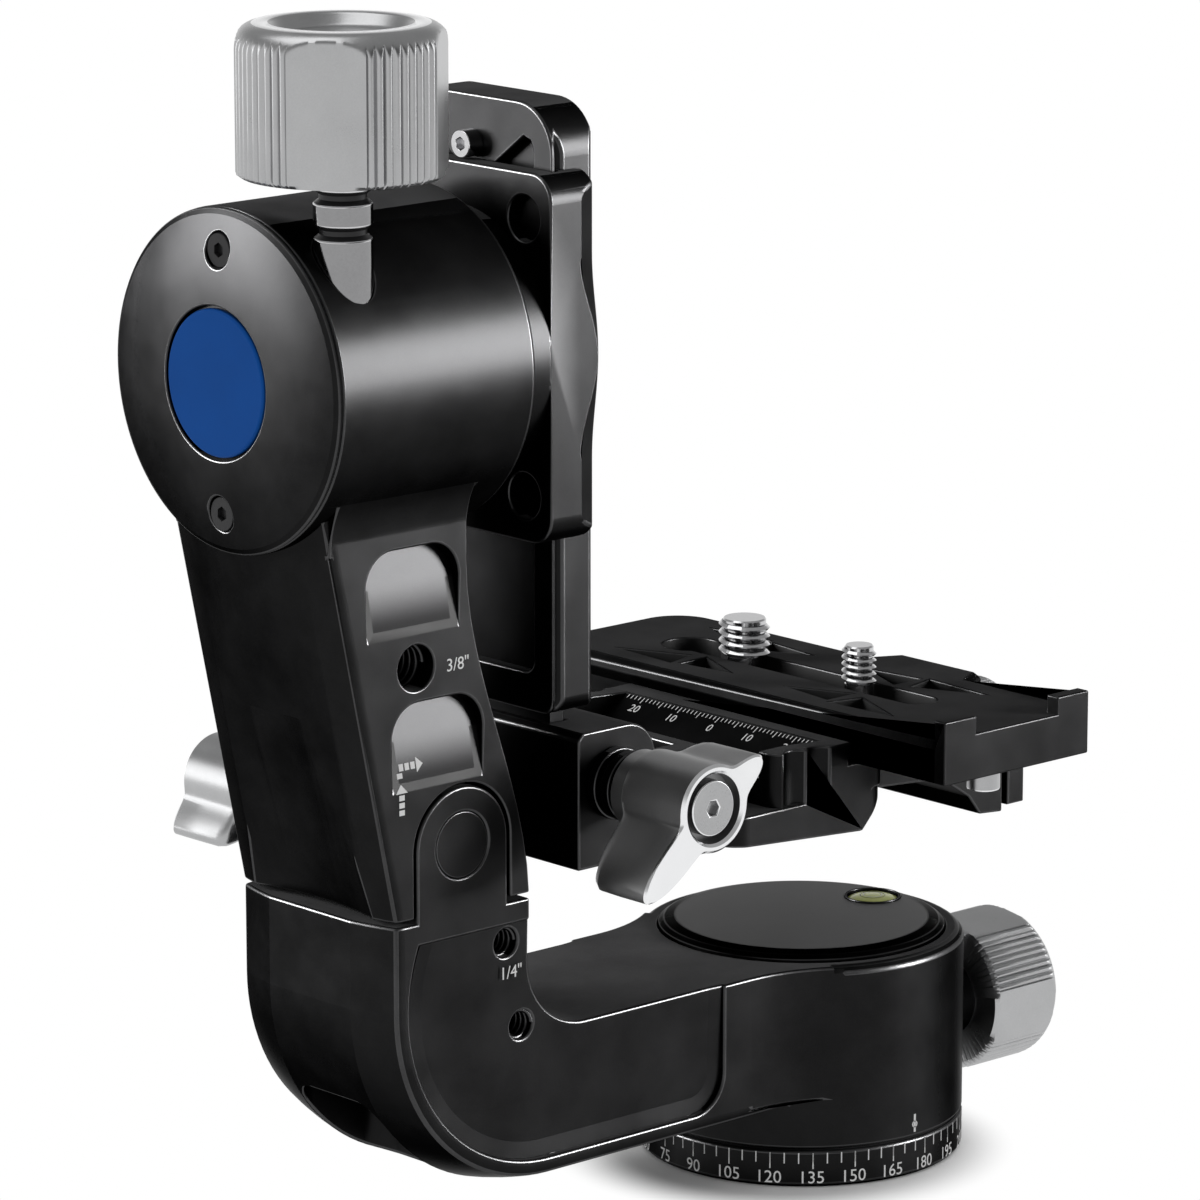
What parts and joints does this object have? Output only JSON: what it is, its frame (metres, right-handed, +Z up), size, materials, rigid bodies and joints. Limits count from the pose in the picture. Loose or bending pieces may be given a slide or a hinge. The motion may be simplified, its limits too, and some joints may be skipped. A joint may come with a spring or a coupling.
{
  "type": "gimbal head",
  "caption": "Side-arm gimbal head with panning base, folding arm, tilt hub, sliding swing rail and quick-release platform that carries a long lens on a dovetail plate.",
  "frame": {"origin": "centre of the tripod socket's mouth, on the pan axis at the underside of the base", "axes": "+Z up along the pan axis, -X towards the side arm, tilt axis parallel to X, -Y towards the side that carries the accessory threads"},
  "size_m": [0.199, 0.107, 0.2224],
  "materials": {
    "black_anodised": "satin",
    "satin_cap": "satin",
    "silver_anodised": "bead blasted satin",
    "steel": "polished",
    "dark_steel": "black oxide",
    "brass": "machined",
    "blue_badge": "semi gloss",
    "level_fluid": "gloss"
  },
  "bodies": {
    "base": {"scale_ring": "black_anodised", "ring_screws": "steel", "tripod_bush": "steel", "pan_spindle": "steel", "pan_nut": "steel"},
    "arm": {"lower_arm": "black_anodised", "pan_bearing": "steel", "pan_cap": "satin_cap", "level_cup": "satin_cap", "level_vial": "level_fluid", "pan_brake_shoe": "brass"},
    "pan_lock": {"pan_knob": "silver_anodised", "pan_stud": "black_anodised"},
    "fold_link": {"fold_slide_block": "steel"},
    "fold_lock": {"fold_pin": "black_anodised", "fold_lever": "silver_anodised", "fold_lever_screw": "steel"},
    "upper": {"upper_arm": "black_anodised", "tilt_cover": "black_anodised", "cover_screws": "dark_steel", "badge": "blue_badge", "tilt_bearing_outer": "steel", "tilt_bearing_inner": "steel", "tilt_brake_shoe": "brass"},
    "tilt_lock": {"tilt_knob": "silver_anodised", "tilt_stem": "steel"},
    "swing": {"tilt_shaft": "steel", "shaft_nut": "steel", "rail_clamp": "black_anodised", "rail_jaw": "black_anodised", "jaw_bolts": "dark_steel"},
    "rail": {"swing_rail": "black_anodised", "rail_stop_screw": "steel"},
    "platform": {"platform": "black_anodised", "platform_shoe": "brass"},
    "platform_lock": {"platform_lever": "silver_anodised", "platform_stud": "black_anodised", "platform_lever_screw": "steel"},
    "qr_jaw": {"qr_jaw": "black_anodised", "qr_guide_pins": "steel"},
    "qr_lock": {"qr_knob": "silver_anodised", "qr_stud": "black_anodised"},
    "plate": {"camera_plate": "black_anodised", "stop_pins": "steel"},
    "large_screw": {"large_screw": "steel"},
    "small_screw": {"small_screw": "steel"}
  },
  "joints": [
    {"name": "pan", "type": "hinge", "parent": "base", "child": "arm", "pos_m": [0, 0, 0.02], "axis": [0, 0, 1], "continuous": true},
    {"name": "pan_lock_turn", "type": "hinge", "parent": "arm", "child": "pan_lock", "pos_m": [0.038, 0, 0.0205], "axis": [1, 0, 0], "range_deg": [0, 270]},
    {"name": "fold", "type": "hinge", "parent": "arm", "child": "fold_link", "pos_m": [-0.1009, 0, 0.0786], "axis": [0, 1, 0], "range_deg": [0, 8]},
    {"name": "fold_lift", "type": "slide", "parent": "fold_link", "child": "upper", "axis": [0, 0, 1], "range_m": [0, 0.012]},
    {"name": "fold_lock_turn", "type": "hinge", "parent": "arm", "child": "fold_lock", "pos_m": [-0.1009, 0.04, 0.0786], "axis": [0, -1, 0], "range_deg": [0, 90]},
    {"name": "tilt", "type": "hinge", "parent": "upper", "child": "swing", "pos_m": [-0.1, 0, 0.1607], "axis": [1, 0, 0], "continuous": true},
    {"name": "tilt_lock_turn", "type": "hinge", "parent": "upper", "child": "tilt_lock", "pos_m": [-0.126, -0.02, 0.2], "axis": [0, 0, 1], "range_deg": [0, 270]},
    {"name": "rail_slide", "type": "slide", "parent": "swing", "child": "rail", "axis": [0, 0, 1], "range_m": [0, 0.03]},
    {"name": "platform_slide", "type": "slide", "parent": "rail", "child": "platform", "axis": [0, 0, 1], "range_m": [-0.006, 0]},
    {"name": "platform_lock_turn", "type": "hinge", "parent": "platform", "child": "platform_lock", "pos_m": [-0.0674, -0.04, 0.0843], "axis": [0, -1, 0], "range_deg": [0, 90]},
    {"name": "qr_open", "type": "slide", "parent": "platform", "child": "qr_jaw", "axis": [1, 0, 0], "range_m": [0, 0.004]},
    {"name": "qr_turn", "type": "hinge", "parent": "qr_jaw", "child": "qr_lock", "pos_m": [0.04, 0, 0.0707], "axis": [1, 0, 0], "range_deg": [0, 545]},
    {"name": "plate_slide", "type": "slide", "parent": "platform", "child": "plate", "axis": [0, 1, 0], "range_m": [-0.012, 0.012]},
    {"name": "large_screw_slide", "type": "slide", "parent": "plate", "child": "large_screw", "axis": [0, 1, 0], "range_m": [-0.012, 0.01]},
    {"name": "small_screw_slide", "type": "slide", "parent": "plate", "child": "small_screw", "axis": [0, 1, 0], "range_m": [-0.014, 0.012]}
  ],
  "couplings": [
    {"joint": "fold_lift", "follows": "fold", "m_per_rad": 0.085},
    {"joint": "qr_turn", "follows": "qr_open", "rad_per_m": 2356.2}
  ]
}
